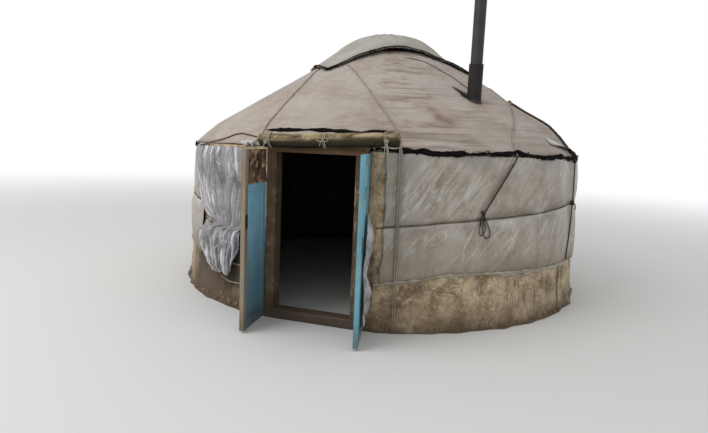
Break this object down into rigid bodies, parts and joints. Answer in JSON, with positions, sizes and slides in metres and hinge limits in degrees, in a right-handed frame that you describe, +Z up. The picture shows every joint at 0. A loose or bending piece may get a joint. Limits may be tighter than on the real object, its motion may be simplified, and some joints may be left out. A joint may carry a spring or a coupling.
{
  "type": "yurt",
  "caption": "Round felt tent-house with a lattice wall, bent roof poles, a domed crown, two door leaves, a rolled door curtain and a stovepipe.",
  "frame": {"origin": "middle of the floor circle, on the ground", "axes": "+Z up, the doorway faces -Y, +X to the right of someone who looks in through the doorway"},
  "size_m": [5.0258, 5.482, 3.6],
  "materials": {
    "crown_cloth": "weathered canvas, greenish beige",
    "crown_wood": "bent hardwood",
    "curtain_felt": "yellowish-brown felt, rolled",
    "door_frame_wood": "sawn softwood stained red-brown",
    "felt_hem": "dark felt edge",
    "gathered_sheet": "thin white sheet, gathered and tied",
    "hinge_steel": "rusty wrought steel",
    "lattice_wood": "split willow laths",
    "leaf_blue_paint": "boards with faded blue paint",
    "leaf_frame_wood": "bare weathered softwood",
    "leaf_upper_board": "stained brown board",
    "pole_wood": "peeled willow poles",
    "roof_canvas": "weathered cotton canvas, beige-grey",
    "roof_felt": "matted sheep-wool felt, dark brown",
    "rope": "hemp and hair rope",
    "stovepipe_steel": "sooty sheet steel, rust-brown",
    "wall_felt": "matted sheep-wool felt, tan and mud-stained",
    "wall_film": "coated sheet, translucent greyish beige"
  },
  "bodies": {
    "tent": {"crown_braces": "crown_wood", "crown_cover": "crown_cloth", "crown_ring": "crown_wood", "curtain_roll": "curtain_felt", "curtain_ties": "rope", "door_post_left": "door_frame_wood", "door_post_right": "door_frame_wood", "eave_hem": "felt_hem", "gathered_sheet": "gathered_sheet", "lattice_wall": "lattice_wood", "left_post_hinges": "hinge_steel", "lintel": "door_frame_wood", "lower_band": "rope", "middle_belt": "rope", "right_post_hinges": "hinge_steel", "roof_canvas": "roof_canvas", "roof_felt_1": "roof_felt", "roof_felt_2": "roof_felt", "roof_felt_3": "roof_felt", "roof_felt_4": "roof_felt", "roof_poles_back": "pole_wood", "roof_poles_front": "pole_wood", "roof_poles_left": "pole_wood", "roof_poles_right": "pole_wood", "stovepipe_lower": "stovepipe_steel", "stovepipe_upper": "stovepipe_steel", "threshold": "door_frame_wood", "tie_ropes": "rope", "wall_felt_1": "wall_felt", "wall_felt_2": "wall_felt", "wall_felt_3": "wall_felt", "wall_felt_4": "wall_felt", "wall_felt_5": "wall_felt", "wall_felt_6": "wall_felt", "wall_sheet_left": "wall_film", "wall_sheet_right": "wall_film"},
    "left_leaf": {"left_leaf_boards": "leaf_blue_paint", "left_leaf_frame": "leaf_frame_wood", "left_leaf_hinges": "hinge_steel", "left_leaf_lock_plate": "hinge_steel", "left_leaf_upper_panel": "leaf_upper_board"},
    "right_leaf": {"right_leaf_boards": "leaf_blue_paint", "right_leaf_frame": "leaf_frame_wood", "right_leaf_hinges": "hinge_steel", "right_leaf_lock_plate": "hinge_steel", "right_leaf_upper_panel": "leaf_upper_board"}
  },
  "joints": [
    {"name": "left_leaf_hinge", "type": "hinge", "parent": "tent", "child": "left_leaf", "pos_m": [-0.502, -2.47175, 0.85], "axis": [0, 0, 1], "range_deg": [-41, 84]},
    {"name": "right_leaf_hinge", "type": "hinge", "parent": "tent", "child": "right_leaf", "pos_m": [0.502, -2.47175, 0.85], "axis": [0, 0, -1], "range_deg": [-23.5, 101.5]}
  ]
}
